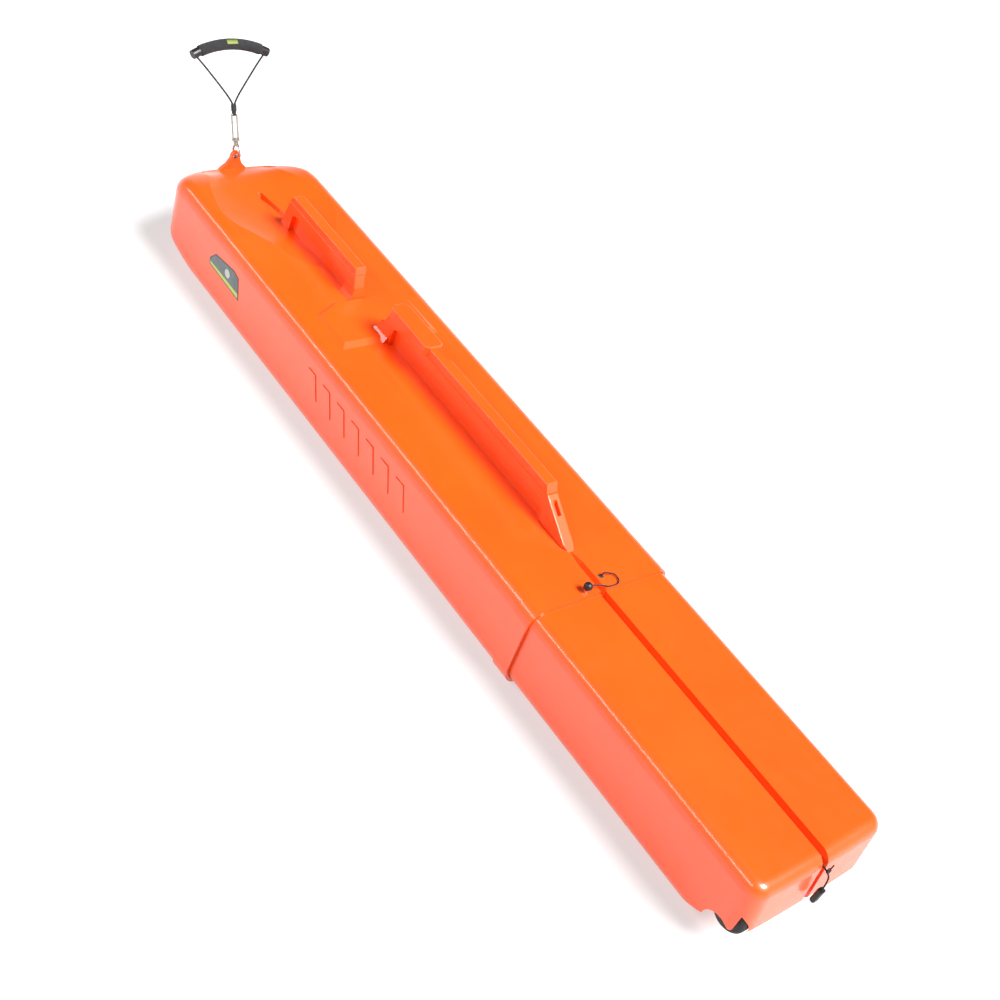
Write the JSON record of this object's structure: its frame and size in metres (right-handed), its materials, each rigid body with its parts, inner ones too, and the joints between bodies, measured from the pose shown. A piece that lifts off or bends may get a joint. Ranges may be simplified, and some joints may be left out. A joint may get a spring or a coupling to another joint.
{
  "type": "telescoping ski case",
  "caption": "Hard-shell travel case for skis in two shells that telescope, with carry rails, tail wheels, a pin lock and a tow leash with a foam grip.",
  "frame": {"origin": "on the flat back of the outer shell, on its centre plane, about halfway along the case as drawn", "axes": "+X along the case to the nose and tow lug, +Z out of the rail face, +Y to the side that carries the sticker; the case lies on its back"},
  "size_m": [1.8179, 0.298, 0.3649],
  "materials": {
    "shell": "glossy blow-moulded polyethylene",
    "rail": "glossy, same moulding colour as the shell",
    "black_plastic": "satin",
    "foam": "soft closed-cell foam",
    "cord": "braided polyester",
    "webbing": "woven nylon",
    "steel": "dulled nickel plate",
    "eyelet": "satin",
    "tyre": "moulded polyurethane",
    "hub": "satin",
    "bush": "plain",
    "badge": "satin",
    "sticker": "printed film"
  },
  "bodies": {
    "outer_case": {"outer_shell": "shell", "lower_rail": "rail", "lower_rail_strip": "rail", "upper_rail": "rail", "upper_rail_strip": "rail", "side_sticker": "sticker", "lock_anchor_eyelet": "eyelet", "tow_eye_bush": "eyelet", "lock_lanyard": "cord"},
    "inner_case": {"inner_shell": "shell", "left_axle_pin": "steel", "left_axle_cap": "steel", "left_axle_spacers": "black_plastic", "right_axle_pin": "steel", "right_axle_cap": "steel", "right_axle_spacers": "black_plastic", "tail_eyelet": "eyelet"},
    "left_wheel": {"left_wheel_tyre": "tyre", "left_wheel_hub": "hub", "left_wheel_bushes": "bush"},
    "right_wheel": {"right_wheel_tyre": "tyre", "right_wheel_hub": "hub", "right_wheel_bushes": "bush"},
    "lock_pin": {"lock_pin": "steel", "lock_knob": "black_plastic"},
    "tail_pull": {"tail_cord": "cord", "toggle_body": "black_plastic", "toggle_spring": "steel"},
    "toggle_button": {"toggle_button": "black_plastic"},
    "tow_hook": {"tow_hook_body": "steel", "tow_hook_gate_pin": "steel", "swivel_rivet": "steel"},
    "hook_gate": {"tow_hook_gate": "steel"},
    "swivel": {"swivel_eye": "steel"},
    "leash": {"leash_webbing": "webbing", "leash_sleeve": "webbing", "left_leash_leg": "cord", "right_leash_leg": "cord", "grip_tube": "black_plastic", "grip_foam": "foam", "left_grip_cap": "black_plastic", "right_grip_cap": "black_plastic", "grip_badge": "badge"}
  },
  "joints": [
    {"name": "telescope", "type": "slide", "parent": "outer_case", "child": "inner_case", "axis": [1, 0, 0], "range_m": [-0.25, 0.45]},
    {"name": "left_wheel_spin", "type": "hinge", "parent": "inner_case", "child": "left_wheel", "pos_m": [-0.817, 0.1204, 0.079], "axis": [0, 1, 0], "continuous": true},
    {"name": "right_wheel_spin", "type": "hinge", "parent": "inner_case", "child": "right_wheel", "pos_m": [-0.817, -0.1204, 0.079], "axis": [0, 1, 0], "continuous": true},
    {"name": "lock_pin_slide", "type": "slide", "parent": "outer_case", "child": "lock_pin", "axis": [0, 0, 1], "range_m": [-0.0035, 0.02]},
    {"name": "tail_pull_swing", "type": "hinge", "parent": "inner_case", "child": "tail_pull", "pos_m": [-0.85, 0, 0.15], "axis": [1, 0, 0], "range_deg": [-60, 60]},
    {"name": "toggle_press", "type": "slide", "parent": "tail_pull", "child": "toggle_button", "axis": [0, 0, 1], "range_m": [0, 0.0035], "stiffness_N_per_m": 300, "springref_m": -0.002, "deforming": ["toggle_spring"]},
    {"name": "hook_swing", "type": "hinge", "parent": "outer_case", "child": "tow_hook", "pos_m": [0.846, 0, 0.174], "axis": [1, 0, 0], "range_deg": [-55, 55]},
    {"name": "gate_open", "type": "hinge", "parent": "tow_hook", "child": "hook_gate", "pos_m": [0.84519, 0, 0.19623], "axis": [0, -1, 0], "range_deg": [0, 16], "stiffness_Nm_per_rad": 0.02, "springref_deg": -17.19},
    {"name": "swivel_spin", "type": "hinge", "parent": "tow_hook", "child": "swivel", "pos_m": [0.85496, 0, 0.20096], "axis": [0.4894, 0, 0.8721], "continuous": true},
    {"name": "leash_fold", "type": "hinge", "parent": "swivel", "child": "leash", "pos_m": [0.87879, 0, 0.24343], "axis": [0, 1, 0], "range_deg": [-75, 75]}
  ]
}
